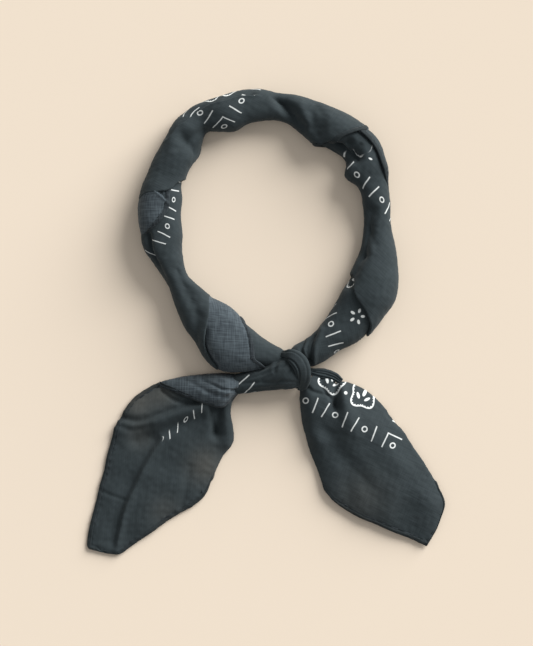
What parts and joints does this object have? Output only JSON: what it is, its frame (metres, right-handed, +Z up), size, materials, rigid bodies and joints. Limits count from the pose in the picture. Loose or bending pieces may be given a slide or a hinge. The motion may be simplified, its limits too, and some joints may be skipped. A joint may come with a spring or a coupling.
{
  "type": "bandana",
  "caption": "Square cotton bandana rolled on the diagonal, closed into a neck ring by a half knot, with its two corners spread as flat tails.",
  "frame": {"origin": "middle of the outline in plan, on the surface the cloth lies on", "axes": "+Z up from the surface, +Y from the knot to the far side of the ring, +X to the right when the knot is nearest the viewer"},
  "size_m": [0.2138, 0.2786, 0.0233],
  "materials": {
    "printed_cotton": "matt plain-weave cotton, slate charcoal with an off-white printed border",
    "cotton_back": "matt plain-weave cotton, the paler unprinted back"
  },
  "bodies": {
    "root": {"left_arm": "printed_cotton", "lower_turn": "cotton_back", "left_roll": "printed_cotton", "upper_turn": "cotton_back", "top_roll": "printed_cotton", "outer_hem": "printed_cotton", "right_roll": "printed_cotton", "right_arm": "printed_cotton", "knot_wrap": "printed_cotton", "knot_lobe": "printed_cotton", "left_tail": "printed_cotton", "left_tail_turn": "cotton_back", "right_tail": "printed_cotton", "right_tail_back": "printed_cotton"}
  },
  "joints": []
}
